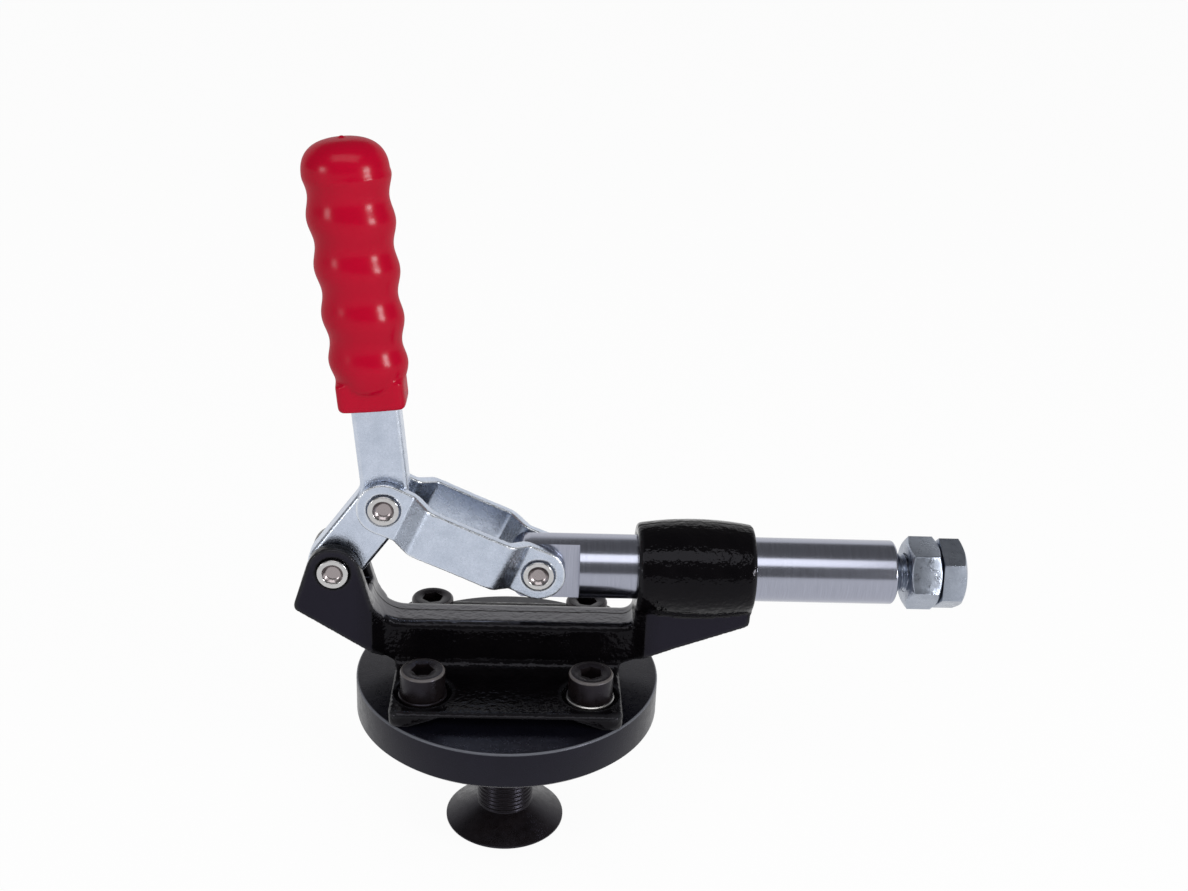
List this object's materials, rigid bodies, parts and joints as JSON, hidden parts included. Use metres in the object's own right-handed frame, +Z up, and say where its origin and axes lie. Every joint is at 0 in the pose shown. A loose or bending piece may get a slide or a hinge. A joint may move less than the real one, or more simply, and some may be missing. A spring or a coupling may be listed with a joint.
{
  "type": "toggle clamp",
  "caption": "Push-pull toggle clamp on a round mounting disc: an upright gripped lever drives a plunger through joggled links; a countersunk screw holds the disc to a slotted table.",
  "frame": {"origin": "centre of the mounting disc's underside, on the axis of the clamping screw", "axes": "+X along the plunger towards its clamping tip, +Z up out of the disc's upper side, linkage in the XZ plane"},
  "size_m": [0.2031, 0.094, 0.2206],
  "materials": {
    "black_enamel": "glossy black enamel over a rough casting",
    "black_oxide": "black oxide, satin",
    "worn_steel": "darkened plain steel",
    "zinc_plate": "bluish zinc plate with a fine mottle",
    "nickel_rivet": "bright nickel",
    "ground_steel": "ground and polished steel",
    "bright_zinc": "bright zinc plate",
    "red_vinyl": "glossy red vinyl"
  },
  "bodies": {
    "base": {"frame": "black_enamel", "base_disc": "black_oxide", "frame_pivot_pin": "nickel_rivet", "flange_screw_1": "black_oxide", "flange_screw_2": "black_oxide", "flange_screw_3": "black_oxide", "flange_screw_4": "black_oxide", "flange_washer_1": "worn_steel", "flange_washer_2": "worn_steel", "flange_washer_3": "worn_steel", "flange_washer_4": "worn_steel"},
    "lever": {"handle_lever": "zinc_plate", "grip": "red_vinyl"},
    "links": {"front_link": "zinc_plate", "rear_link": "zinc_plate", "link_pin": "nickel_rivet", "plunger_pin": "nickel_rivet"},
    "plunger": {"plunger": "ground_steel"},
    "spindle": {"spindle_bolt": "bright_zinc"},
    "lock_nut": {"lock_nut": "bright_zinc"},
    "clamping_screw": {"clamping_screw": "black_oxide"}
  },
  "joints": [
    {"name": "lever_pivot", "type": "hinge", "parent": "base", "child": "lever", "pos_m": [-0.0526, 0, 0.0486], "axis": [0, 1, 0], "range_deg": [-10, 55]},
    {"name": "link_pivot", "type": "hinge", "parent": "lever", "child": "links", "pos_m": [-0.03746, 0, 0.06899], "axis": [0, 1, 0], "range_deg": [-80, 15]},
    {"name": "plunger_slide", "type": "slide", "parent": "base", "child": "plunger", "axis": [1, 0, 0], "range_m": [-0.003, 0.015]},
    {"name": "spindle_adjust", "type": "slide", "parent": "plunger", "child": "spindle", "axis": [1, 0, 0], "range_m": [-0.003, 0.012]},
    {"name": "lock_nut_turn", "type": "hinge", "parent": "spindle", "child": "lock_nut", "pos_m": [0.12624, 0, 0.0486], "axis": [1, 0, 0], "continuous": true},
    {"name": "clamping_screw_adjust", "type": "slide", "parent": "base", "child": "clamping_screw", "axis": [0, 0, -1], "range_m": [-0.002, 0.005]}
  ],
  "couplings": [
    {"joint": "link_pivot", "follows": "lever_pivot", "ratio": -1.4486},
    {"joint": "plunger_slide", "follows": "lever_pivot", "m_per_rad": 0.015158}
  ]
}
